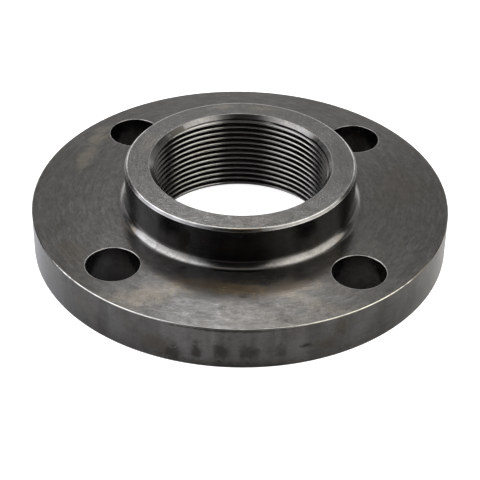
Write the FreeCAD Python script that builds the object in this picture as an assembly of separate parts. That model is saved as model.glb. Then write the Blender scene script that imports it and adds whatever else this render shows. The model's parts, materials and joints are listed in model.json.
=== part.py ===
import FreeCAD, Part

import math
import os

# Threaded hub flange: a turned steel forging with a round plate, a short hub and four bolt holes.
# Millimetres. The origin is the centre of the plate's underside, and +Z runs up the bore to the hub's face.

# Parallel pipe thread, 11 to the inch. The bore is plain at the crests of the thread.
thread_major_diameter = 65.71
thread_pitch = 25.4 / 11
thread_depth_per_pitch = 0.640327
countersink_relief = 0.445

# Hub, its root blended into the plate. The wall is measured at the mouth of the bore.
hub_wall = 8.7
hub_height = 15.7
hub_root_radius = 3.0
hub_edge_chamfer = 0.85

# Bolt holes, one in each quarter, midway between the X and Y axes. The hub land is the flat from the hub's
# root fillet to the holes, which leaves room for the nuts.
bolt_count = 4
bolt_hole_diameter = 19.05
bolt_edge_break = 0.25
hub_land = 5.8
first_bolt_angle = 180.0 / bolt_count

# Plate. The rim land is the metal between the holes and the rim.
plate_thickness = 16.5
plate_edge_break = 0.4
rim_land = 6.35

# A cutter runs this far past the faces that it cuts.
cutter_overrun = 1.0

# Radii, from the bore outwards. The bolt circle comes to 120.65 across and the plate to 152.4.
crest_radius = thread_major_diameter / 2 - thread_depth_per_pitch * thread_pitch
mouth_radius = thread_major_diameter / 2 + countersink_relief
countersink_depth = mouth_radius - crest_radius
hub_radius = mouth_radius + hub_wall
bolt_hole_radius = bolt_hole_diameter / 2
bolt_circle_radius = hub_radius + hub_root_radius + hub_land + bolt_hole_radius
plate_radius = bolt_circle_radius + bolt_hole_radius + rim_land
overall_height = plate_thickness + hub_height


def point(radius, height):
    """A point of a half section, in the plane of the X and Z axes."""
    return FreeCAD.Vector(radius, 0, height)


def line(start, end):
    return Part.LineSegment(start, end).toShape()


def root_fillet():
    """The quarter circle that blends the hub's wall into the top of the plate."""
    centre = point(hub_radius + hub_root_radius, plate_thickness + hub_root_radius)
    foot = point(centre.x, plate_thickness)
    top = point(hub_radius, centre.z)
    reach = hub_root_radius * math.sqrt(0.5)
    middle = point(centre.x - reach, centre.z - reach)
    return Part.Arc(foot, middle, top).toShape()


def turned_section():
    """The half section that the blank is turned to, from the bore's lower mouth round to its start."""
    lower_plate = [
        point(mouth_radius, 0),
        point(plate_radius - plate_edge_break, 0),
        point(plate_radius, plate_edge_break),
        point(plate_radius, plate_thickness - plate_edge_break),
        point(plate_radius - plate_edge_break, plate_thickness),
        point(hub_radius + hub_root_radius, plate_thickness),
    ]
    hub_and_bore = [
        point(hub_radius, plate_thickness + hub_root_radius),
        point(hub_radius, overall_height - hub_edge_chamfer),
        point(hub_radius - hub_edge_chamfer, overall_height),
        point(mouth_radius, overall_height),
        point(crest_radius, overall_height - countersink_depth),
        point(crest_radius, countersink_depth),
        point(mouth_radius, 0),
    ]
    edges = [line(a, b) for a, b in zip(lower_plate, lower_plate[1:])]
    edges.append(root_fillet())
    edges += [line(a, b) for a, b in zip(hub_and_bore, hub_and_bore[1:])]
    return Part.Face(Part.Wire(edges))


def turned_blank():
    """The plate, hub and countersunk bore, turned about the Z axis."""
    return turned_section().revolve(FreeCAD.Vector(0, 0, 0), FreeCAD.Vector(0, 0, 1), 360)


def bolt_hole_cutter():
    """A straight drill that opens at 45 degrees at both faces, which breaks the hole's edges."""
    flare = bolt_hole_radius + bolt_edge_break + cutter_overrun
    outline = Part.makePolygon([
        point(0, -cutter_overrun),
        point(flare, -cutter_overrun),
        point(bolt_hole_radius, bolt_edge_break),
        point(bolt_hole_radius, plate_thickness - bolt_edge_break),
        point(flare, plate_thickness + cutter_overrun),
        point(0, plate_thickness + cutter_overrun),
        point(0, -cutter_overrun),
    ])
    return Part.Face(outline).revolve(FreeCAD.Vector(0, 0, 0), FreeCAD.Vector(0, 0, 1), 360)


def bolt_holes():
    """The cutter, moved out to the bolt circle and repeated round it."""
    cutters = []
    for index in range(bolt_count):
        cutter = bolt_hole_cutter()
        cutter.translate(FreeCAD.Vector(bolt_circle_radius, 0, 0))
        turn = first_bolt_angle + index * 360.0 / bolt_count
        cutter.rotate(FreeCAD.Vector(0, 0, 0), FreeCAD.Vector(0, 0, 1), turn)
        cutters.append(cutter)
    return cutters


def flange():
    """The whole flange: the turned blank with its bolt holes drilled."""
    return turned_blank().cut(bolt_holes())


os.makedirs("parts", exist_ok=True)
solid = flange().Solids[0]
solid.exportStep("parts/threaded_flange.step")
print("bolt circle", round(2 * bolt_circle_radius, 3), "plate", round(2 * plate_radius, 3))
print("bore", round(crest_radius, 4), "long", round(overall_height - 2 * countersink_depth, 4))
print("volume", round(solid.Volume, 1), "valid", solid.isValid())
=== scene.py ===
import json
import math

import bmesh
import bpy
import numpy as np
from mathutils import Matrix, Vector


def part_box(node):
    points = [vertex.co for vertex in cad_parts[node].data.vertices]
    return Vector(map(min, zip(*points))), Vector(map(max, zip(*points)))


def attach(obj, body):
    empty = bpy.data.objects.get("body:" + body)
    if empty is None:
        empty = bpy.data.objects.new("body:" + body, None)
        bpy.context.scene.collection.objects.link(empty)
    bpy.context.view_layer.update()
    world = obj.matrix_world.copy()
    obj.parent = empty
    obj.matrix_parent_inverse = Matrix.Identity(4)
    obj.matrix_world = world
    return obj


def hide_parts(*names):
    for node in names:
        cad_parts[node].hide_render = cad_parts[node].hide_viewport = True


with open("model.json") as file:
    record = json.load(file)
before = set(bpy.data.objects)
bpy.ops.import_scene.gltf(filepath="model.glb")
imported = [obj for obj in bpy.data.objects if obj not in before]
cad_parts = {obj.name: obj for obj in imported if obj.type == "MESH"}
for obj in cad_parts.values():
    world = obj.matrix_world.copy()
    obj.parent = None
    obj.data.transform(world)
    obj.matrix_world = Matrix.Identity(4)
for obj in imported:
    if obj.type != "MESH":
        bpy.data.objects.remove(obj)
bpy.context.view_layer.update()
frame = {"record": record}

# The flange
# One steel forging: faced, bored and threaded on a lathe, drilled for its bolts and blackened in oil.
# It is one closed shell here, made of surfaces that share their edges, from the bore outwards.

MM = 0.001
mounts = {mount["name"]: mount["dims"] for mount in frame["record"]["mounts"]}
high_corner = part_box("threaded_flange")[1]
plate_radius = high_corner.x
overall_height = high_corner.z
plate_thickness = 16.5 * MM
column_count = 296
round_angles = np.linspace(0, 2 * np.pi, column_count + 1)
finishes = ["thread", "cone", "crown", "face", "wall", "rim", "root", "hole"]
shell = {"points": [], "quads": [], "wear": [], "finish": []}


def grid_quads(number):
    """The quads of a grid of point numbers: two neighbours in a row, and the two beside them in the next."""
    corners = [number[:-1, :-1], number[:-1, 1:], number[1:, 1:], number[1:, :-1]]
    return np.stack(corners, axis=-1).reshape(-1, 4)


def add_surface(points, wear, finish):
    """Adds a grid of points, rows by columns, to the shell.

    Wear has one number for each row or each point, from 0 on a plain surface to 1 on a rubbed edge.
    """
    rows, columns = points.shape[:2]
    first = sum(len(part) for part in shell["points"])
    quads = grid_quads(first + np.arange(rows * columns).reshape(rows, columns))
    shell["points"].append(points.reshape(-1, 3))
    shell["quads"].append(quads)
    shell["wear"].append(np.broadcast_to(np.reshape(wear, (rows, -1)), (rows, columns)).ravel())
    shell["finish"].append(np.full(len(quads), finishes.index(finish)))


def turn(finish, points, wear, angles=round_angles, centre=(0.0, 0.0)):
    """Revolves a profile of radii and heights about an upright axis, and adds it to the shell.

    x is the centre plus the radius times the cosine of the angle, y the same with the sine, and z the height.
    """
    radius = np.array(points)[:, :1]
    height = np.array(points)[:, 1:]
    x = centre[0] + radius * np.cos(angles)
    y = centre[1] + radius * np.sin(angles)
    add_surface(np.stack([x, y, np.broadcast_to(height, x.shape)], axis=-1), wear, finish)


def edge(before, corner, after, cut, steps=3):
    """The points of a rounded corner of a profile, from its first side to its second.

    The curve is a parabola: the corner, plus the cut times (1 - t) squared back along the first side, plus the
    cut times t squared along the second, as t goes from 0 to 1.
    """
    before, corner, after = (np.array(point, float) for point in (before, corner, after))
    back = (before - corner) / np.linalg.norm(before - corner)
    onward = (after - corner) / np.linalg.norm(after - corner)
    t = np.linspace(0, 1, steps + 1)[:, None]
    return list(corner + cut * ((1 - t) ** 2 * back + t ** 2 * onward))


def off(point, towards, distance):
    """The point that lies a distance from a point, on the way to another one."""
    way = np.array(towards, float) - np.array(point, float)
    return np.array(point, float) + distance * way / np.linalg.norm(way)


# The bore and its thread
# A parallel pipe thread with rounded crests and roots runs from face to face. A countersink at each end is
# wider than the roots, so that a pipe finds its start.

thread_pitch = 25.4 / 11 * MM
crest_radius = mounts["bore"]["r_mm"] * MM
countersink_depth = (overall_height - mounts["bore"]["length_mm"] * MM) / 2
mouth_radius = crest_radius + countersink_depth
mouth_cut = 0.07 * MM
flank_angle = math.radians(62.5)
crest_rounding = 0.13 * thread_pitch
flank_hold = 0.1 * MM
run_in = 1.3 * MM
run_in_length = 0.6 * MM
first_crest_height = 29.6 * MM
first_crest_turn = 0.25
# Each row's rub, crest first: the crest rows are rubbed to bare metal, and the root rows are lightened as a
# painted sheen where a root catches the light.
crest_rub_and_root_sheen = [1.0, 0.9, 0.2, 0.0, 0.1, 0.4, 0.55, 0.6]


def thread_form():
    """Heights and depths of the rows of one turn of thread, from the middle of one crest up to the next.

    Crest and root are arcs, with straight flanks between them. Along an arc the height is its radius times
    the sine of the angle, and the depth is its radius times one minus the cosine. A flank deepens by the
    tangent of the flank angle, and has a row close to each of its ends. The second half mirrors the first.
    """
    angle = flank_angle * np.array([0.0, 0.5, 1.0])
    rise = crest_rounding * np.sin(angle)
    drop = crest_rounding * (1 - np.cos(angle))
    full_depth = 2 * drop[-1] + (thread_pitch / 2 - 2 * rise[-1]) * math.tan(flank_angle)
    ease = flank_hold * math.tan(flank_angle)
    heights = np.concatenate([rise, [rise[-1] + flank_hold]])
    depths = np.concatenate([drop, [drop[-1] + ease]])
    heights = np.concatenate([heights, thread_pitch / 2 - heights[::-1]])
    depths = np.concatenate([depths, full_depth - depths[::-1]])
    heights = np.concatenate([heights, thread_pitch - heights[-2:0:-1]])
    depths = np.concatenate([depths, depths[-2:0:-1]])
    return heights, depths, np.array(crest_rub_and_root_sheen + crest_rub_and_root_sheen[-2:0:-1])


def threaded_bore():
    """The wall of the bore, in rows that climb one pitch in each turn.

    A row's height is its own plus the pitch times the turn, held between the two mouths. The radius is the
    crest radius plus the thread's depth, which grows from nothing over the run-in, or that of the
    countersink's cone where the cone is wider. The cone itself isn't rubbed.
    """
    heights, depths, rub_and_root_sheen = thread_form()
    turns = np.arange(-2, math.ceil(overall_height / thread_pitch) + 1)
    row_height = (turns[:, None] * thread_pitch + heights).ravel()
    row_depth = np.tile(depths, len(turns))[:, None]
    start = first_crest_height % thread_pitch - first_crest_turn * thread_pitch
    climb = start + thread_pitch * round_angles / (2 * np.pi)
    height = np.clip(row_height[:, None] + climb, mouth_cut, overall_height - mouth_cut)
    way_in = np.minimum(height, overall_height - height)
    cut = np.clip((way_in - run_in) / run_in_length, 0, 1)
    radius = np.maximum(crest_radius + row_depth * cut, mouth_radius - way_in)
    points = np.stack([radius * np.cos(round_angles), radius * np.sin(round_angles), height], axis=-1)
    return points, np.tile(rub_and_root_sheen, len(turns))[:, None] * (way_in > countersink_depth)


# The bore's worn rows include the thread roots, lightened as a painted sheen.
bore_points, bore_wear_and_root_sheen = threaded_bore()
add_surface(bore_points, bore_wear_and_root_sheen, "thread")
row_middle = (bore_points[:-1, :-1, 2] + bore_points[1:, 1:, 2]) / 2
in_cone = np.abs(row_middle - overall_height / 2) > overall_height / 2 - countersink_depth
shell["finish"][-1][in_cone.ravel()] = finishes.index("cone")

# The hub
# A short collar with a faced top, a chamfered edge and a straight wall. A fillet blends it into the plate, and
# every edge is lightly broken, as a deburring tool leaves it.

hub_radius = 42.0 * MM
hub_chamfer = 0.85 * MM
face_cut = 0.22 * MM
edge_cut = 0.08 * MM
flat_hold = 0.3 * MM
root_radius = 3.0 * MM
root_steps = 12
seam = 0.5 * MM
mouth_top = (mouth_radius, overall_height)
mouth_low = (mouth_radius - countersink_depth, overall_height - countersink_depth)
chamfer_top = (hub_radius - hub_chamfer, overall_height)
chamfer_foot = (hub_radius, overall_height - hub_chamfer)
root_top = (hub_radius, plate_thickness + root_radius)
root_foot = (hub_radius + root_radius, plate_thickness)

mouth_edge = edge(mouth_low, mouth_top, chamfer_top, mouth_cut * math.sqrt(2))
face_edge = edge(mouth_top, chamfer_top, chamfer_foot, face_cut)
wall_edge = edge(chamfer_top, chamfer_foot, root_top, edge_cut)
turn("crown", mouth_edge, [0, 0.6, 0.6, 0.3])
turn("crown", [mouth_edge[-1], off(mouth_edge[-1], chamfer_top, flat_hold),
               off(face_edge[0], mouth_top, flat_hold), face_edge[0]], [0.3, 0, 0, 0.7])
turn("wall", face_edge, [0.7, 1, 1, 0.6])
turn("wall", [face_edge[-1], off(face_edge[-1], chamfer_foot, flat_hold / 2),
              off(wall_edge[0], chamfer_top, flat_hold / 2), wall_edge[0]], [0.6, 0.3, 0.3, 0.6])
turn("wall", wall_edge, [0.6, 1, 1, 0.5])
turn("wall", [wall_edge[-1], off(wall_edge[-1], root_top, flat_hold),
              off(root_top, chamfer_foot, seam), root_top], [0.5, 0, 0, 0])
bend = np.linspace(0, np.pi / 2, root_steps + 1)
root_arc = np.stack([root_foot[0] - root_radius * np.cos(bend),
                     root_top[1] - root_radius * np.sin(bend)], axis=-1)
turn("root", root_arc, np.zeros(len(root_arc)))
turn("face", [root_foot, (root_foot[0] + seam, plate_thickness)], [0, 0])

# The plate
# A flat round plate, faced on both sides and turned on its rim. The rim's edges are broken.

edge_break = 0.22 * MM
edge_rounding = 0.10 * MM
rim_top = (plate_radius - edge_break, plate_thickness)
rim_shoulder = (plate_radius, plate_thickness - edge_break)
rim_foot = (plate_radius, edge_break)
rim_bottom = (plate_radius - edge_break, 0)
bottom_mouth = (mouth_radius, 0)
rim_seam = plate_radius - edge_break - edge_rounding - seam
mouth_seam = mouth_radius + mouth_cut + seam

top_inner = edge(root_foot, rim_top, rim_shoulder, edge_rounding)
top_outer = edge(rim_top, rim_shoulder, rim_foot, edge_rounding)
low_outer = edge(rim_shoulder, rim_foot, rim_bottom, edge_rounding)
low_inner = edge(rim_foot, rim_bottom, bottom_mouth, edge_rounding)
broken_edge_wear = [0.5, 1, 1, 0.9, 0.9, 1, 1, 0.5]
turn("face", [(rim_seam, plate_thickness), off(top_inner[0], root_foot, flat_hold / 2), top_inner[0]],
     [0, 0, 0.5])
turn("rim", top_inner + top_outer, broken_edge_wear)
turn("rim", [top_outer[-1], off(top_outer[-1], rim_foot, flat_hold),
             off(low_outer[0], rim_shoulder, flat_hold), low_outer[0]], [0.5, 0, 0, 0.5])
turn("rim", low_outer + low_inner, broken_edge_wear)
turn("face", [low_inner[-1], off(low_inner[-1], bottom_mouth, flat_hold / 2), (rim_seam, 0)], [0.5, 0, 0])
cone_top = (mouth_radius - countersink_depth, countersink_depth)
bottom_edge = edge(rim_bottom, bottom_mouth, cone_top, mouth_cut * math.sqrt(2))
turn("face", [(mouth_seam, 0), off(bottom_edge[0], rim_bottom, flat_hold / 2), bottom_edge[0]], [0, 0, 0.5])
turn("face", bottom_edge, [0.5, 1, 1, 0])

# The bolt holes
# Four drilled holes on a circle, with their edges broken by a countersink. The plate's faces run up to them in
# rings that start round and end along the sides of a quarter of the plate.

hole_count = mounts["bolts"]["count"]
hole_radius = mounts["bolts"]["hole_r_mm"] * MM
circle_radius = mounts["bolts"]["pcd_mm"] / 2 * MM
hole_break = 0.12 * MM
hole_seam = hole_radius + hole_break + edge_cut + flat_hold
ring_count = 7
side_steps = 12
arc_steps = column_count // hole_count
half_sector = np.pi / hole_count
corner_lean = math.atan2(circle_radius * half_sector, (rim_seam - mouth_seam) / 2)
loop_angles = np.interp(
    np.arange(2 * (arc_steps + side_steps) + 1),
    [0, arc_steps, arc_steps + side_steps, 2 * arc_steps + side_steps, 2 * (arc_steps + side_steps)],
    [-corner_lean, corner_lean, np.pi - corner_lean, np.pi + corner_lean, 2 * np.pi - corner_lean])


def sector_edge(inner, outer):
    """Angles and radii of the points round one sector of the plate: outer arc, side, inner arc, side."""
    swing = np.linspace(-half_sector, half_sector, arc_steps + 1)
    side = np.linspace(outer, inner, side_steps + 1)
    angles = np.concatenate([swing, np.full(side_steps - 1, half_sector), swing[::-1],
                             np.full(side_steps, -half_sector)])
    radii = np.concatenate([np.full(arc_steps + 1, outer), side[1:-1], np.full(arc_steps + 1, inner),
                            side[::-1][1:]])
    return angles, radii


def plate_sector(middle, inner, outer, height):
    """The flat of one sector round its hole.

    Each point's angle and radius about the plate's axis go from those of a point on the hole's rim to those
    of a point on the sector's edge, in steps that grow outwards as the power 1.5 of the share of the way.
    """
    x = circle_radius + hole_seam * np.cos(loop_angles)
    y = hole_seam * np.sin(loop_angles)
    edge_angles, edge_radii = sector_edge(inner, outer)
    share = (np.arange(ring_count + 1) / ring_count)[:, None] ** 1.5
    radii = (1 - share) * np.hypot(x, y) + share * edge_radii
    angles = middle + (1 - share) * np.arctan2(y, x) + share * edge_angles
    points = np.stack([radii * np.cos(angles), radii * np.sin(angles), np.full_like(radii, height)], axis=-1)
    add_surface(points, np.zeros(ring_count + 1), "face")


hole_top = (hole_radius + hole_break, plate_thickness)
hole_throat = (hole_radius, plate_thickness - hole_break)
hole_base = (hole_radius, hole_break)
hole_bottom = (hole_radius + hole_break, 0)
top_lip = edge((hole_seam, plate_thickness), hole_top, hole_throat, edge_cut)
top_throat = edge(hole_top, hole_throat, hole_base, edge_cut)
low_throat = edge(hole_throat, hole_base, hole_bottom, edge_cut)
low_lip = edge(hole_base, hole_bottom, (hole_seam, 0), edge_cut)

for index in range(hole_count):
    middle = half_sector + index * 2 * half_sector
    plate_sector(middle, root_foot[0] + seam, rim_seam, plate_thickness)
    plate_sector(middle, mouth_seam, rim_seam, 0.0)
    centre = (circle_radius * math.cos(middle), circle_radius * math.sin(middle))
    angles = middle + loop_angles
    turn("face", [(hole_seam, plate_thickness), top_lip[0]], [0, 0.6], angles, centre)
    turn("hole", top_lip + top_throat, [0.6, 0.9, 0.9, 0.6, 0.4, 0.4, 0.3, 0.1], angles, centre)
    turn("hole", [top_throat[-1], off(top_throat[-1], hole_base, flat_hold),
                  off(low_throat[0], hole_throat, flat_hold), low_throat[0]], [0.1, 0, 0, 0.1], angles, centre)
    turn("hole", low_throat + low_lip, [0.1, 0.3, 0.4, 0.4, 0.4, 0.5, 0.5, 0.3], angles, centre)
    turn("face", [low_lip[-1], (hole_seam, 0)], [0.3, 0], angles, centre)

# The shell, closed
# The surfaces are joined where they share an edge, so that the flange is one skin with no gap in it.

weld_distance = 0.0008 * MM
mesh = bpy.data.meshes.new("flange")
mesh.from_pydata(np.concatenate(shell["points"]), [], np.concatenate(shell["quads"]))
mesh.polygons.foreach_set("material_index", np.concatenate(shell["finish"]).astype(np.int32))
wear_layer = mesh.attributes.new("wear", "FLOAT", "POINT")
wear_layer.data.foreach_set("value", np.concatenate(shell["wear"]).astype(np.float32))
work = bmesh.new()
work.from_mesh(mesh)
bmesh.ops.remove_doubles(work, verts=work.verts, dist=weld_distance)
bmesh.ops.recalc_face_normals(work, faces=work.faces)
work.to_mesh(mesh)
work.free()
mesh.shade_smooth()
flange = bpy.data.objects.new("flange", mesh)
bpy.context.scene.collection.objects.link(flange)
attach(flange, "root")
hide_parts("threaded_flange")

# The finish
# The steel is blackened and oiled. Faces show faint rings from the facing tool, old oil dries to brown stains,
# and the edges and thread crests are rubbed to brighter metal. Some marks are painted light: shade round the
# foot of the hub, in the far bolt holes, at the foot of the rim and over the plate's right half, dark
# reflections on the hub wall and in the countersink, highlights on the hub's edge and a sheen on the thread
# roots.


def new_group(name, inputs, outputs):
    """An empty node group with float, vector or colour sockets, and its input and output nodes."""
    group = bpy.data.node_groups.new(name, "ShaderNodeTree")
    for socket, kind, value in inputs:
        group.interface.new_socket(socket, in_out="INPUT", socket_type=kind).default_value = value
    for socket, kind in outputs:
        group.interface.new_socket(socket, in_out="OUTPUT", socket_type=kind)
    return group, group.nodes.new("NodeGroupInput"), group.nodes.new("NodeGroupOutput")


def plug(tree, socket, operand):
    """Gives an input its value: a socket to link, a colour or a number."""
    if isinstance(operand, bpy.types.NodeSocket):
        tree.links.new(operand, socket)
    elif isinstance(operand, tuple):
        socket.default_value = (*operand, 1.0)
    else:
        socket.default_value = operand


def add_math(tree, operation, *operands, clamp=False):
    """A math node. Each operand is a socket to link or a number."""
    node = tree.nodes.new("ShaderNodeMath")
    node.operation = operation
    node.use_clamp = clamp
    for socket, operand in zip(node.inputs, operands):
        plug(tree, socket, operand)
    return node.outputs[0]


def add_range(tree, value, low, high, to_low=0.0, to_high=1.0):
    """A smooth step from one range to another."""
    node = tree.nodes.new("ShaderNodeMapRange")
    node.interpolation_type = "SMOOTHSTEP"
    for name, operand in (("Value", value), ("From Min", low), ("From Max", high),
                          ("To Min", to_low), ("To Max", to_high)):
        plug(tree, node.inputs[name], operand)
    return node.outputs[0]


def add_noise(tree, vector, scale, detail=3.0, roughness=0.55, distortion=0.0):
    """A noise texture on a vector, from 0 to 1."""
    node = tree.nodes.new("ShaderNodeTexNoise")
    for name, operand in (("Vector", vector), ("Scale", scale), ("Detail", detail), ("Roughness", roughness),
                          ("Distortion", distortion)):
        plug(tree, node.inputs[name], operand)
    return node.outputs["Fac"]


def own_place(tree):
    """The object's own coordinates, in metres."""
    return tree.nodes.new("ShaderNodeTexCoord").outputs["Object"]


def turned_place(tree):
    """The object's own x, y and height, and the distance from its axis: the root of x and y, each squared."""
    parts = tree.nodes.new("ShaderNodeSeparateXYZ")
    tree.links.new(own_place(tree), parts.inputs[0])
    x, y, z = parts.outputs
    squares = add_math(tree, "MULTIPLY_ADD", x, x, add_math(tree, "MULTIPLY", y, y))
    return x, y, z, add_math(tree, "SQRT", squares)


def turning_marks():
    """Rings that a lathe tool leaves: noise that is fine across the surface and long round the axis.

    Its coordinates are the cosine and sine of the angle, times a small number, and the radius less the height,
    divided by the spacing of the rings.
    """
    group, given, out = new_group(
        "turning marks", [("Spacing", "NodeSocketFloat", 0.0004), ("Breaks", "NodeSocketFloat", 3.0)],
        [("Height", "NodeSocketFloat")])
    x, y, z, radius = turned_place(group)
    along = given.outputs["Breaks"]
    across = add_math(group, "SUBTRACT", radius, z)
    ring = group.nodes.new("ShaderNodeCombineXYZ")
    plug(group, ring.inputs[0], add_math(group, "MULTIPLY", add_math(group, "DIVIDE", x, radius), along))
    plug(group, ring.inputs[1], add_math(group, "MULTIPLY", add_math(group, "DIVIDE", y, radius), along))
    plug(group, ring.inputs[2], add_math(group, "DIVIDE", across, given.outputs["Spacing"]))
    group.links.new(add_noise(group, ring.outputs[0], 1.0, 2.0, 0.6), out.inputs["Height"])
    return group


def soft_patches():
    """Soft patches: noise on the object's own coordinates, stepped between two levels."""
    group, given, out = new_group(
        "patches", [("Scale", "NodeSocketFloat", 40.0), ("Low", "NodeSocketFloat", 0.4),
                    ("High", "NodeSocketFloat", 0.7), ("Detail", "NodeSocketFloat", 4.0)],
        [("Mask", "NodeSocketFloat")])
    noise = add_noise(group, own_place(group), given.outputs["Scale"], given.outputs["Detail"], 0.62, 0.6)
    group.links.new(add_range(group, noise, given.outputs["Low"], given.outputs["High"]), out.inputs["Mask"])
    return group


def stain_and_light_spot():
    """One spot, for real marks and for painted shade and highlights: full at its centre, gone at its spread in
    each direction, and broken up by noise.
    """
    group, given, out = new_group(
        "stain_and_light_spot", [("Centre", "NodeSocketVector", (0, 0, 0)),
                  ("Spread", "NodeSocketVector", (0.01, 0.01, 0.01)),
                  ("Turn", "NodeSocketFloat", 0.0), ("Grain", "NodeSocketFloat", 380.0)],
        [("Mask", "NodeSocketFloat")])
    place = own_place(group)
    offset = group.nodes.new("ShaderNodeVectorMath")
    offset.operation = "SUBTRACT"
    group.links.new(place, offset.inputs[0])
    group.links.new(given.outputs["Centre"], offset.inputs[1])
    spin = group.nodes.new("ShaderNodeVectorRotate")
    spin.rotation_type = "Z_AXIS"
    group.links.new(offset.outputs[0], spin.inputs["Vector"])
    group.links.new(given.outputs["Turn"], spin.inputs["Angle"])
    shares = group.nodes.new("ShaderNodeVectorMath")
    shares.operation = "DIVIDE"
    group.links.new(spin.outputs[0], shares.inputs[0])
    group.links.new(given.outputs["Spread"], shares.inputs[1])
    away = group.nodes.new("ShaderNodeVectorMath")
    away.operation = "LENGTH"
    group.links.new(shares.outputs[0], away.inputs[0])
    noise = add_noise(group, place, given.outputs["Grain"], 5.0, 0.65, 0.8)
    ragged = add_math(group, "ADD", away.outputs["Value"], add_math(group, "MULTIPLY_ADD", noise, 2.0, -1.0))
    group.links.new(add_range(group, ragged, 0.95, 0.25), out.inputs["Mask"])
    return group


def grain():
    """Fine even grain, from 0 to 1."""
    group, given, out = new_group(
        "grain", [("Scale", "NodeSocketFloat", 1500.0)], [("Value", "NodeSocketFloat")])
    group.links.new(add_noise(group, own_place(group), given.outputs["Scale"], 2.0, 0.6), out.inputs["Value"])
    return group


def streaks():
    """Soft upright streaks: noise that is fine across the surface and eight times as long up it."""
    group, given, out = new_group(
        "streaks", [("Scale", "NodeSocketFloat", 120.0)], [("Mask", "NodeSocketFloat")])
    drawn = group.nodes.new("ShaderNodeVectorMath")
    drawn.operation = "MULTIPLY"
    drawn.inputs[1].default_value = (1.0, 1.0, 0.12)
    group.links.new(own_place(group), drawn.inputs[0])
    noise = add_noise(group, drawn.outputs[0], given.outputs["Scale"], 3.0, 0.55, 0.3)
    group.links.new(add_range(group, noise, 0.38, 0.66), out.inputs["Mask"])
    return group


def edge_wear_and_sheen():
    """How far the edges are rubbed: the shell's wear to the power 1.5, thinned here and there by noise. On the
    thread roots the same mask paints a sheen.
    """
    group, given, out = new_group("edge wear and sheen", [], [("Mask", "NodeSocketFloat")])
    wear = group.nodes.new("ShaderNodeAttribute")
    wear.attribute_name = "wear"
    patchy = add_range(group, add_noise(group, own_place(group), 160.0, 4.0, 0.6), 0.25, 0.6, 0.35, 1.0)
    worn = add_math(group, "POWER", wear.outputs["Fac"], 1.5)
    group.links.new(add_math(group, "MULTIPLY", worn, patchy, clamp=True), out.inputs["Mask"])
    return group


def painted_foot_shade():
    """Painted shade in the crease round the foot of the hub, on the plate's upper half.

    It is full at its radius, gone at its width on each side, and broken by noise.
    """
    group, given, out = new_group(
        "painted foot shade", [("Radius", "NodeSocketFloat", 0.046), ("Width", "NodeSocketFloat", 0.003)],
        [("Mask", "NodeSocketFloat")])
    z, radius = turned_place(group)[2:]
    aside = add_math(group, "ABSOLUTE", add_math(group, "SUBTRACT", radius, given.outputs["Radius"]))
    share = add_math(group, "DIVIDE", aside, given.outputs["Width"])
    noise = add_noise(group, own_place(group), 300.0, 5.0, 0.65, 0.5)
    ragged = add_math(group, "ADD", share, add_math(group, "MULTIPLY_ADD", noise, 1.8, -0.9))
    upper = add_math(group, "GREATER_THAN", z, plate_thickness / 2)
    foot_shade_mask = add_range(group, ragged, 0.95, 0.2)
    group.links.new(add_math(group, "MULTIPLY", foot_shade_mask, upper), out.inputs["Mask"])
    return group


turning = turning_marks()
patches = soft_patches()
stain_and_light_spots = stain_and_light_spot()
grains = grain()
upright = streaks()
wear_and_sheen_group = edge_wear_and_sheen()
painted_foot_shade_group = painted_foot_shade()


def use(tree, group, **values):
    """A group node with its own values."""
    node = tree.nodes.new("ShaderNodeGroup")
    node.node_tree = group
    for name, value in values.items():
        node.inputs[name].default_value = value
    return node


def blend(tree, mask, below, above):
    """Mixes two colours, or two numbers, by a mask. The node has its own sockets for each kind."""
    numbers = isinstance(above, float)
    node = tree.nodes.new("ShaderNodeMix")
    node.data_type = "FLOAT" if numbers else "RGBA"
    first, second, mixed = (2, 3, 0) if numbers else (6, 7, 2)
    for index, operand in ((0, mask), (first, below), (second, above)):
        plug(tree, node.inputs[index], operand)
    return node.outputs[mixed]


brown_oil = (0.050, 0.042, 0.031)
gold_oil = (0.150, 0.114, 0.070)
dry_oil = (0.110, 0.096, 0.076)
# A near-black for soot and oil marks; the same colour is also laid on as painted shade and painted dark
# reflections.
soot_and_shade = (0.018, 0.017, 0.015)
# Bare metal on worn edges; on the thread roots the same colour is a painted sheen.
bare_steel_and_sheen = (0.22, 0.215, 0.205)
golden_edge = (0.205, 0.198, 0.172)
# A painted highlight colour for the hub's edge.
painted_highlight_steel = (0.45, 0.44, 0.43)

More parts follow.
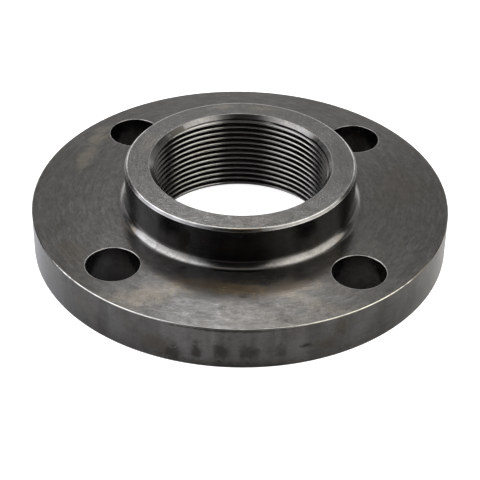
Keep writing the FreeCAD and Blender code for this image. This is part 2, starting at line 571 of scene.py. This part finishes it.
# Each mark is a place in millimetres, a spread in millimetres, a turn, a strength and a colour. Most are oil
# and soot; some, noted below, are painted shade, painted dark reflections and painted highlights.
# A film of dried oil is a place, a spread and a strength.
face_marks = [
    ((-9.0, -52.4, 16.5), (20.0, 5.0, 9.0), 0.15, 0.45, gold_oil),
    ((1.5, -54.2, 16.5), (13.0, 5.0, 9.0), -0.05, 0.9, gold_oil),
    ((16.0, -53.4, 16.5), (18.0, 5.6, 9.0), -0.3, 0.3, gold_oil),
    ((-14.0, -55.6, 16.5), (12.0, 3.0, 9.0), 0.25, 0.5, brown_oil),
    ((-6.0, -57.4, 16.5), (16.0, 2.6, 9.0), 0.0, 0.35, soot_and_shade),
    ((-8.0, -59.6, 16.5), (14.0, 2.8, 9.0), 0.1, 0.6, soot_and_shade),
    ((8.0, -58.9, 16.5), (13.0, 2.6, 9.0), -0.15, 0.3, soot_and_shade),
    ((3.1, -58.6, 16.5), (2.2, 0.8, 9.0), 0.0, 0.9, soot_and_shade),
    ((1.0, -67.8, 16.5), (0.7, 0.5, 9.0), 0.0, 0.9, soot_and_shade),
    ((-56.0, 44.0, 16.5), (5.0, 3.0, 9.0), -0.7, 0.5, dry_oil),
    ((-56.8, 37.5, 16.5), (8.0, 4.5, 9.0), -0.9, 0.6, dry_oil),
    ((-59.0, 26.0, 16.5), (9.0, 4.0, 9.0), -1.2, 0.6, dry_oil),
    ((-60.5, 18.5, 16.5), (5.0, 2.6, 9.0), -1.2, 0.5, dry_oil),
    ((-58.4, -35.2, 16.5), (9.0, 6.0, 9.0), 0.6, 0.4, brown_oil),
    ((-39.2, -20.0, 16.5), (8.0, 3.0, 9.0), 1.1, 0.6, brown_oil),
    ((-30.0, -59.0, 16.5), (22.0, 8.0, 9.0), -0.4, 0.5, dry_oil),
    ((26.0, -60.0, 16.5), (18.0, 5.0, 9.0), 0.4, 0.25, dry_oil),
    ((36.0, -34.0, 16.5), (12.0, 4.0, 9.0), 0.75, 0.5, brown_oil),
    ((60.0, 12.0, 16.5), (24.0, 14.0, 9.0), -1.4, 0.35, brown_oil),
    # Painted shade: a broad darkening over the right half of the plate's face.
    ((54.0, 0.0, 16.5), (40.0, 60.0, 9.0), 0.0, 0.3, soot_and_shade),
]
face_films = [
    ((1.0, -51.5, 16.5), (56.0, 15.0, 9.0), 0.085),
    ((20.0, -54.0, 16.5), (18.0, 9.0, 9.0), 0.14),
]
crown_marks = [
    ((-8.5, 37.8, 32.2), (7.0, 2.2, 5.0), -0.2, 0.6, dry_oil),
    ((8.0, 37.6, 32.2), (9.0, 1.6, 5.0), 0.1, 0.4, dry_oil),
    ((-34.0, 12.0, 32.2), (4.0, 12.0, 5.0), 0.3, 0.25, dry_oil),
    ((36.5, 3.0, 32.2), (6.0, 18.0, 5.0), 0.0, 0.3, soot_and_shade),
]
cone_marks = [
    # The first three darken the countersink on its two sides.
    ((-24.8, 21.4, 31.0), (7.0, 4.5, 5.0), -0.8, 0.95, soot_and_shade),
    ((-32.2, 13.0, 30.4), (4.0, 6.0, 5.0), -0.3, 0.8, soot_and_shade),
    ((28.2, 18.4, 31.0), (5.0, 8.0, 5.0), 0.5, 0.95, soot_and_shade),
    # Painted dark reflection of the gap between the side lamps, at the back of the countersink.
    ((-1.0, 35.8, 30.6), (10.0, 2.0, 2.0), 0.0, 0.6, soot_and_shade),
]
wall_marks = [
    ((2.5, -41.8, 31.9), (9.0, 4.0, 1.2), 0.0, 0.9, brown_oil),
    # The next two are painted dark reflections, one on each side of the wall's front.
    ((-18.4, -37.8, 24.6), (4.4, 5.0, 8.5), 0.0, 0.8, soot_and_shade),
    ((22.2, -35.7, 24.4), (5.0, 5.0, 7.5), 0.0, 0.6, soot_and_shade),
    # These two darken the wall towards its left and right sides.
    ((-38.4, -17.0, 24.0), (12.0, 12.0, 40.0), 0.0, 0.9, soot_and_shade),
    ((38.2, -17.4, 25.0), (10.0, 10.0, 40.0), 0.0, 0.9, soot_and_shade),
]
root_marks = [
    ((-38.5, -22.0, 17.5), (4.0, 7.0, 2.0), 0.6, 0.7, brown_oil),
    ((38.5, -26.0, 17.5), (4.0, 7.0, 2.0), -0.6, 0.6, brown_oil),
    ((0.0, -44.0, 17.5), (20.0, 3.0, 2.0), 0.0, 0.5, brown_oil),
]
rim_marks = [
    ((-24.5, -72.5, 6.0), (9.0, 9.0, 6.0), 0.0, 0.55, brown_oil),
    ((-19.7, -73.6, 3.5), (5.0, 9.0, 5.0), 0.0, 0.6, soot_and_shade),
    ((-11.9, -75.3, 6.5), (2.8, 9.0, 5.0), 0.0, 0.75, soot_and_shade),
    ((-3.3, -76.1, 7.0), (3.8, 9.0, 5.2), 0.0, 0.75, soot_and_shade),
    ((5.3, -76.0, 6.5), (4.8, 9.0, 5.4), 0.0, 0.65, soot_and_shade),
    ((16.0, -74.5, 6.0), (3.0, 9.0, 6.0), 0.3, 0.5, soot_and_shade),
    ((24.8, -72.0, 7.5), (2.6, 9.0, 1.6), 0.0, 0.8, soot_and_shade),
    ((32.2, -69.1, 6.5), (6.0, 9.0, 5.0), 0.0, 0.6, brown_oil),
    ((35.8, -67.3, 12.0), (4.0, 9.0, 5.0), 0.0, 0.5, brown_oil),
    ((-52.0, -55.0, 9.0), (9.0, 9.0, 4.0), 0.0, 0.3, dry_oil),
    # Painted shade: the front of the rim darker towards its foot.
    ((0.0, -76.0, 0.5), (40.0, 9.0, 2.8), 0.0, 0.45, soot_and_shade),
    ((-62.0, -44.0, 16.4), (14.0, 8.0, 1.2), 0.9, 0.9, soot_and_shade),
    # Painted shade: a dark line just under the rim's top edge, at the front.
    ((-2.0, -76.2, 15.9), (30.0, 9.0, 0.9), 0.0, 0.9, soot_and_shade),
    ((71.7, -25.4, 16.2), (5.0, 16.0, 1.4), 0.0, 0.9, gold_oil),
]
edge_marks = [
    ((44.0, -61.0, 16.4), (44.0, 26.0, 4.0), -0.7, 1.0, golden_edge),
    ((-68.0, -33.0, 16.4), (22.0, 26.0, 4.0), -0.4, 0.95, soot_and_shade),
    ((69.0, -32.0, 16.4), (20.0, 34.0, 4.0), 0.43, 0.95, brown_oil),
]
hub_edge_stains_and_highlights = [
    # The first two are painted highlights on the hub's edge, at its left and right; the last is an oil mark.
    ((-41.0, 5.0, 32.0), (16.0, 26.0, 5.0), 0.0, 1.0, painted_highlight_steel),
    ((41.0, 4.0, 32.0), (14.0, 22.0, 5.0), 0.0, 0.9, painted_highlight_steel),
    ((2.4, -41.6, 31.6), (10.0, 4.0, 3.0), 0.0, 0.8, gold_oil),
]
# Painted shade: both far bolt holes are darkened through their depth.
painted_hole_shade = [
    ((-42.7, 42.7, 8.0), (22.0, 22.0, 40.0), 0.0, 0.8, soot_and_shade),
    ((42.7, 42.7, 8.0), (22.0, 22.0, 40.0), 0.0, 0.8, soot_and_shade),
]


def with_stains_and_painted_light(tree, colour, marks):
    """The colour with the marks laid over it, one after the other: real marks, painted shade and painted
    highlights.
    """
    for centre, spread, turned, strength, tint in marks:
        place = [MM * number for number in centre]
        reach = [MM * number for number in spread]
        mask = use(tree, stain_and_light_spots, Centre=place, Spread=reach, Turn=turned).outputs["Mask"]
        colour = blend(tree, add_math(tree, "MULTIPLY", mask, strength), colour, tint)
    return colour


def metal_left(tree, films):
    """How metallic the steel still looks: one, less the strength of each film of dried oil where it lies."""
    metal = 1.0
    for centre, spread, strength in films:
        place = [MM * number for number in centre]
        reach = [MM * number for number in spread]
        mask = use(tree, stain_and_light_spots, Centre=place, Spread=reach, Grain=120.0).outputs["Mask"]
        metal = add_math(tree, "SUBTRACT", metal, add_math(tree, "MULTIPLY", mask, strength), clamp=True)
    return metal


def oiled_steel(name, ground, roughness, spacing, ring_depth, grain_depth, speckling,
                marks=(), films=(), edges=(), foot=0.0, streaking=0.0, smearing=0.0):
    """A blackened steel finish.

    Ground is its plain colour, spacing the distance between the tool's rings, and the two depths are those of
    rings and grain in millimetres. Marks are real marks and painted shade on the ground, films the dried oil,
    and edges the marks and painted highlights on the rubbed edges. Speckling, foot, streaking and smearing are
    strengths from 0 to 1; foot is the painted shade round the hub's foot.
    """
    material = bpy.data.materials.new(name)
    material.use_nodes = True
    tree = material.node_tree
    shader = tree.nodes["Principled BSDF"]
    shader.inputs["Metallic"].default_value = 1.0
    if films:
        tree.links.new(metal_left(tree, films), shader.inputs["Metallic"])
    rings = use(tree, turning, Spacing=spacing, Breaks=6.0).outputs["Height"]
    broad = use(tree, patches, Scale=30.0, Low=0.42, High=0.62, Detail=4.0).outputs["Mask"]
    small = use(tree, patches, Scale=120.0, Low=0.50, High=0.75, Detail=6.0).outputs["Mask"]
    mottle = use(tree, patches, Scale=380.0, Low=0.35, High=0.70, Detail=3.0).outputs["Mask"]
    fine = use(tree, grains, Scale=1500.0).outputs["Value"]
    speckle = use(tree, grains, Scale=1900.0).outputs["Value"]
    colour = blend(tree, add_math(tree, "MULTIPLY", broad, 0.35), ground, brown_oil)
    colour = blend(tree, add_math(tree, "MULTIPLY", small, 0.45), colour, soot_and_shade)
    colour = blend(tree, add_math(tree, "MULTIPLY", mottle, 0.8 * speckling), colour, soot_and_shade)
    colour = blend(tree, add_range(tree, rings, 0.55, 0.30, 0.0, 0.7 * speckling), colour, soot_and_shade)
    colour = blend(tree, add_range(tree, speckle, 0.60, 0.35, 0.0, speckling), colour, soot_and_shade)
    if smearing:
        smear = use(tree, turning, Spacing=0.0010, Breaks=22.0).outputs["Height"]
        colour = blend(tree, add_range(tree, smear, 0.60, 0.35, 0.0, smearing), colour, soot_and_shade)
        long_smear = use(tree, turning, Spacing=0.0018, Breaks=9.0).outputs["Height"]
        colour = blend(tree, add_range(tree, long_smear, 0.62, 0.38, 0.0, 0.7 * smearing), colour, soot_and_shade)
    if streaking:
        drawn = use(tree, upright, Scale=150.0).outputs["Mask"]
        colour = blend(tree, add_math(tree, "MULTIPLY", drawn, streaking), colour, soot_and_shade)
    # Painted shade round the foot of the hub.
    if foot:
        foot_shade_mask = use(tree, painted_foot_shade_group).outputs["Mask"]
        colour = blend(tree, add_math(tree, "MULTIPLY", foot_shade_mask, foot), colour, soot_and_shade)
    colour = with_stains_and_painted_light(tree, colour, marks)
    # Worn edges take bare metal. The same mask paints a sheen on the thread roots and, through the edge marks,
    # highlights on the hub's edge.
    rubbed = use(tree, wear_and_sheen_group).outputs["Mask"]
    colour = blend(tree, rubbed, colour, with_stains_and_painted_light(tree, bare_steel_and_sheen, edges))
    tree.links.new(colour, shader.inputs["Base Color"])
    sheen = add_math(tree, "MULTIPLY_ADD", rings, 0.10, roughness - 0.08)
    sheen = add_math(tree, "MULTIPLY_ADD", small, 0.06, sheen)
    sheen = add_math(tree, "MULTIPLY_ADD", mottle, 0.03, sheen)
    tree.links.new(blend(tree, rubbed, sheen, roughness - 0.05), shader.inputs["Roughness"])
    height = add_math(tree, "MULTIPLY_ADD", rings, ring_depth, add_math(tree, "MULTIPLY", fine, grain_depth))
    bump = tree.nodes.new("ShaderNodeBump")
    bump.inputs["Strength"].default_value = 1.0
    bump.inputs["Distance"].default_value = MM
    tree.links.new(height, bump.inputs["Height"])
    tree.links.new(bump.outputs["Normal"], shader.inputs["Normal"])
    return material


materials = {
    "thread": oiled_steel("threaded steel", (0.082, 0.080, 0.077), 0.19, 0.0006, 0.001, 0.004, 0.30),
    "cone": oiled_steel("countersunk steel", (0.080, 0.0785, 0.077), 0.24, 0.0004, 0.004, 0.012, 0.30,
                        marks=cone_marks),
    "crown": oiled_steel("hub face steel", (0.097, 0.095, 0.092), 0.25, 0.0004, 0.006, 0.060, 0.50,
                         marks=crown_marks),
    "face": oiled_steel("faced steel", (0.081, 0.0785, 0.0765), 0.25, 0.0005, 0.004, 0.015, 0.22,
                        marks=face_marks, films=face_films, foot=0.12, smearing=0.35),
    "wall": oiled_steel("turned steel", (0.072, 0.073, 0.078), 0.25, 0.0006, 0.003, 0.006, 0.20,
                        marks=wall_marks, edges=hub_edge_stains_and_highlights, streaking=0.4),
    "rim": oiled_steel("turned rim", (0.112, 0.110, 0.108), 0.22, 0.0006, 0.002, 0.006, 0.18,
                       marks=rim_marks, edges=edge_marks, streaking=0.35),
    "root": oiled_steel("filleted steel", (0.108, 0.106, 0.104), 0.19, 0.0007, 0.003, 0.014, 0.25,
                        marks=root_marks, foot=0.3),
    "hole": oiled_steel("drilled steel", (0.085, 0.083, 0.080), 0.26, 0.0030, 0.002, 0.008, 0.20,
                        marks=painted_hole_shade, streaking=0.3),
}
for finish in finishes:
    mesh.materials.append(materials[finish])

# The floor
# A pale table top that shows white to the camera. The steel sees it darker beside the flange and brighter far
# out, and bright right beneath the steel, so that the underside doesn't turn black when it is seen from below.

floor_drop = 0.02 * MM
floor_size = 8.0
floor_colour = 0.38
glow_to_camera = 0.85
glow_near, glow_far = 0.02, 0.45
glow_beneath = 0.9
beneath_reach = 0.3 * MM


def pale_floor():
    """A matt, pale table top that also glows, but only to the camera and to mirrored or passing rays."""
    material = bpy.data.materials.new("pale floor")
    material.use_nodes = True
    tree = material.node_tree
    tree.nodes.clear()
    path = tree.nodes.new("ShaderNodeLightPath")
    matt = tree.nodes.new("ShaderNodeBsdfDiffuse")
    matt.inputs["Color"].default_value = (floor_colour, floor_colour, floor_colour, 1.0)
    glow = tree.nodes.new("ShaderNodeEmission")
    seen = add_math(tree, "MULTIPLY", path.outputs["Is Camera Ray"], glow_to_camera)
    spot = tree.nodes.new("ShaderNodeVectorMath")
    spot.operation = "LENGTH"
    tree.links.new(own_place(tree), spot.inputs[0])
    table_glow = add_range(tree, spot.outputs["Value"], 1.3 * plate_radius, 3.0 * plate_radius,
                           glow_near, glow_far)
    beneath = add_math(tree, "LESS_THAN", path.outputs["Ray Length"], beneath_reach)
    table_glow = add_math(tree, "MULTIPLY_ADD", beneath, glow_beneath, table_glow)
    mirrored = add_math(tree, "MAXIMUM", path.outputs["Is Glossy Ray"], path.outputs["Is Transmission Ray"])
    mirrored = add_math(tree, "MULTIPLY", mirrored, table_glow)
    tree.links.new(add_math(tree, "ADD", seen, mirrored), glow.inputs["Strength"])
    lit = tree.nodes.new("ShaderNodeAddShader")
    tree.links.new(matt.outputs[0], lit.inputs[0])
    tree.links.new(glow.outputs[0], lit.inputs[1])
    clear = tree.nodes.new("ShaderNodeBsdfTransparent")
    under = tree.nodes.new("ShaderNodeNewGeometry").outputs["Backfacing"]
    sides = tree.nodes.new("ShaderNodeMixShader")
    tree.links.new(add_math(tree, "MULTIPLY", under, path.outputs["Is Camera Ray"]), sides.inputs[0])
    tree.links.new(lit.outputs[0], sides.inputs[1])
    tree.links.new(clear.outputs[0], sides.inputs[2])
    tree.links.new(sides.outputs[0], tree.nodes.new("ShaderNodeOutputMaterial").inputs["Surface"])
    return material


half = floor_size / 2
floor_mesh = bpy.data.meshes.new("floor")
floor_mesh.from_pydata([(-half, -half, -floor_drop), (half, -half, -floor_drop), (half, half, -floor_drop),
                        (-half, half, -floor_drop)], [], [(0, 1, 2, 3)])
floor_mesh.materials.append(pale_floor())
floor = bpy.data.objects.new("floor", floor_mesh)
bpy.context.scene.collection.objects.link(floor)

# The studio
# A glowing panel stands on each side of the flange, and three soft lamps hang behind it. Dark cloth beside the
# panels and behind the camera gives the polished steel its dark stretches.

camera_turn = math.radians(-88.425)
camera_elevation = math.radians(36.08)
camera_distance = 7.694 * plate_radius
lamp_distance = 1.2
panel_share = np.linspace(0, 1, 13)
panel_reach = 0.19
cool_light = (0.95, 0.96, 1.0)
warm_light = (1.0, 0.985, 0.95)
sky_light = (0.97, 0.985, 1.0)
plain_light = (1.0, 1.0, 1.0)


def towards(turn, elevation, distance):
    """A point at a distance from the origin. The turn is counted from the camera, positive to its right."""
    heading = camera_turn + math.radians(turn)
    lift = math.radians(elevation)
    flat = Vector((math.cos(heading), math.sin(heading), 0)) * math.cos(lift)
    return (flat + Vector((0, 0, math.sin(lift)))) * distance


def softbox(name, turn, elevation, width, height, strength, colour):
    """A soft lamp that faces the origin, round where it is as wide as it is high.

    Strength is the brightness of its face, where 1 is white. The energy is four times that, times the area.
    """
    lamp = bpy.data.lights.new(name, "AREA")
    lamp.shape = "DISK" if width == height else "RECTANGLE"
    lamp.size = width
    lamp.size_y = height
    lamp.color = colour
    lamp.energy = strength * 4 * width * height * (math.pi / 4 if width == height else 1)
    holder = bpy.data.objects.new(name, lamp)
    place = towards(turn, elevation, lamp_distance)
    holder.matrix_world = Matrix.Translation(place) @ (-place).to_track_quat("-Z", "Y").to_matrix().to_4x4()
    holder.visible_camera = False
    bpy.context.scene.collection.objects.link(holder)


def side_grid(outline, reach):
    """A grid of points for a panel that stands beside the flange, flat in its own plane and in the room.

    The outline has four corners: low at the back and at the front, then high at the back and at the front.
    Each is a distance towards the camera and a height, and the points between them go by shares of the way.
    Reach is the panel's distance to the right of the flange.
    """
    low = np.outer(1 - panel_share, outline[0]) + np.outer(panel_share, outline[1])
    high = np.outer(1 - panel_share, outline[2]) + np.outer(panel_share, outline[3])
    flat = (1 - panel_share)[:, None, None] * low + panel_share[:, None, None] * high
    ahead = np.array(towards(0, 0, 1))
    right_hand = np.array(towards(90, 0, 1))
    return flat, flat[..., :1] * ahead + reach * right_hand + flat[..., 1:] * np.array([0, 0, 1])


def stage_panel(name, points, material, flip):
    """A panel from a grid of points, which the camera doesn't see and which throws no shadow."""
    rows, columns = points.shape[:2]
    quads = grid_quads(np.arange(rows * columns).reshape(rows, columns))
    panel_mesh = bpy.data.meshes.new(name)
    panel_mesh.from_pydata(points.reshape(-1, 3), [], quads[:, ::-1] if flip else quads)
    panel_mesh.materials.append(material)
    panel = bpy.data.objects.new(name, panel_mesh)
    panel.visible_camera = False
    panel.visible_shadow = False
    bpy.context.scene.collection.objects.link(panel)
    return panel


def glowing_cloth(name, colour):
    """Cloth that glows on its inner side, as strongly as its own attribute says."""
    material = bpy.data.materials.new(name)
    material.use_nodes = True
    tree = material.node_tree
    tree.nodes.clear()
    glow = tree.nodes.new("ShaderNodeEmission")
    glow.inputs["Color"].default_value = (*colour, 1.0)
    level = tree.nodes.new("ShaderNodeAttribute")
    level.attribute_name = "glow"
    outside = tree.nodes.new("ShaderNodeNewGeometry").outputs["Backfacing"]
    inside = add_math(tree, "SUBTRACT", 1.0, outside)
    tree.links.new(add_math(tree, "MULTIPLY", level.outputs["Fac"], inside), glow.inputs["Strength"])
    tree.links.new(glow.outputs[0], tree.nodes.new("ShaderNodeOutputMaterial").inputs["Surface"])
    return material


def light_panel(name, outline, reach, heart, spread, strength, colour):
    """A side lamp, brightest at its heart. It dims as a bell curve with the distance over the spread."""
    flat, points = side_grid(outline, reach)
    away = (flat - np.array(heart)) / np.array(spread)
    panel = stage_panel(name, points, glowing_cloth(name + " cloth", colour), reach < 0)
    level = panel.data.attributes.new("glow", "FLOAT", "POINT")
    level.data.foreach_set("value", (strength * np.exp(-(away ** 2).sum(axis=-1))).ravel().astype(np.float32))


def dark_cloth():
    """Matt, nearly black cloth."""
    material = bpy.data.materials.new("dark cloth")
    material.use_nodes = True
    shader = material.node_tree.nodes["Principled BSDF"]
    shader.inputs["Base Color"].default_value = (0.05, 0.05, 0.05, 1.0)
    shader.inputs["Roughness"].default_value = 0.9
    return material


def studio_world():
    """White to the camera and to mirrored rays, and half as bright to the rest, which light the scene."""
    world = bpy.data.worlds.new("studio")
    world.use_nodes = True
    tree = world.node_tree
    path = tree.nodes.new("ShaderNodeLightPath")
    mirrored = add_math(tree, "MAXIMUM", path.outputs["Is Glossy Ray"], path.outputs["Is Transmission Ray"])
    shown = add_math(tree, "MAXIMUM", path.outputs["Is Camera Ray"], mirrored)
    background = tree.nodes["Background"]
    background.inputs["Color"].default_value = (1.0, 1.0, 1.0, 1.0)
    tree.links.new(add_math(tree, "MULTIPLY_ADD", shown, 0.5, 0.5), background.inputs["Strength"])
    return world


light_panel("left_lamp", [(0.015, 0.0), (0.36, 0.0), (-0.45, 0.63), (0.34, 0.63)], -panel_reach,
            (-0.01, 0.31), (0.20, 0.38), 9.8, cool_light)
light_panel("right_lamp", [(0.015, 0.0), (0.361, 0.0), (-0.33, 0.63), (0.40, 0.63)], panel_reach,
            (0.06, 0.31), (0.25, 0.38), 8.0, warm_light)
softbox("back lamp", 180.5, 47, 0.26, 0.26, 8.4, sky_light)
softbox("top lamp", 180, 69, 0.6, 0.6, 2.0, plain_light)
softbox("low back lamp", 180, 13, 1.7, 0.55, 1.1, plain_light)

# The front card is a piece of a sphere about the flange, one metre in radius.
cloth = dark_cloth()
card_turns = -50 + 90 * panel_share
card_lifts = -1 + 71 * panel_share
front_card = np.array([[towards(side, lift, 1.0) for side in card_turns] for lift in card_lifts])
stage_panel("front_card", front_card, cloth, False)
left_border = side_grid([(-0.055, 0.0), (0.013, 0.0), (-0.55, 0.63), (-0.452, 0.63)], -panel_reach)[1]
stage_panel("left_border", left_border, cloth, True)
right_border = side_grid([(-0.045, 0.0), (0.013, 0.0), (-0.42, 0.63), (-0.332, 0.63)], panel_reach)[1]
stage_panel("right_border", right_border, cloth, False)
bpy.context.scene.world = studio_world()

# The camera
# It looks at the flange from the front and above, at the photograph's angle.

camera_data = bpy.data.cameras.new("camera")
camera_data.lens = 117.55
camera_data.sensor_width = 36.0
camera_data.clip_start = 0.01
camera_data.clip_end = 20.0
camera = bpy.data.objects.new("camera", camera_data)
aim_right = math.tan(math.radians(0.0163))
aim_up = math.tan(math.radians(-0.2143))
roll = math.radians(0.850)
station = towards(0, math.degrees(camera_elevation), camera_distance)
forward = -station.normalized()
right = forward.cross(Vector((0, 0, 1))).normalized()
up = right.cross(forward)
forward = (forward + right * aim_right + up * aim_up).normalized()
level_right = forward.cross(up).normalized()
level_up = level_right.cross(forward)
camera_right = level_right * math.cos(roll) + level_up * math.sin(roll)
camera_up = level_up * math.cos(roll) - level_right * math.sin(roll)
camera.matrix_world = Matrix((
    (camera_right.x, camera_up.x, -forward.x, station.x),
    (camera_right.y, camera_up.y, -forward.y, station.y),
    (camera_right.z, camera_up.z, -forward.z, station.z),
    (0, 0, 0, 1)))
bpy.context.scene.collection.objects.link(camera)
bpy.context.scene.camera = camera
bpy.context.scene.view_settings.view_transform = "Standard"
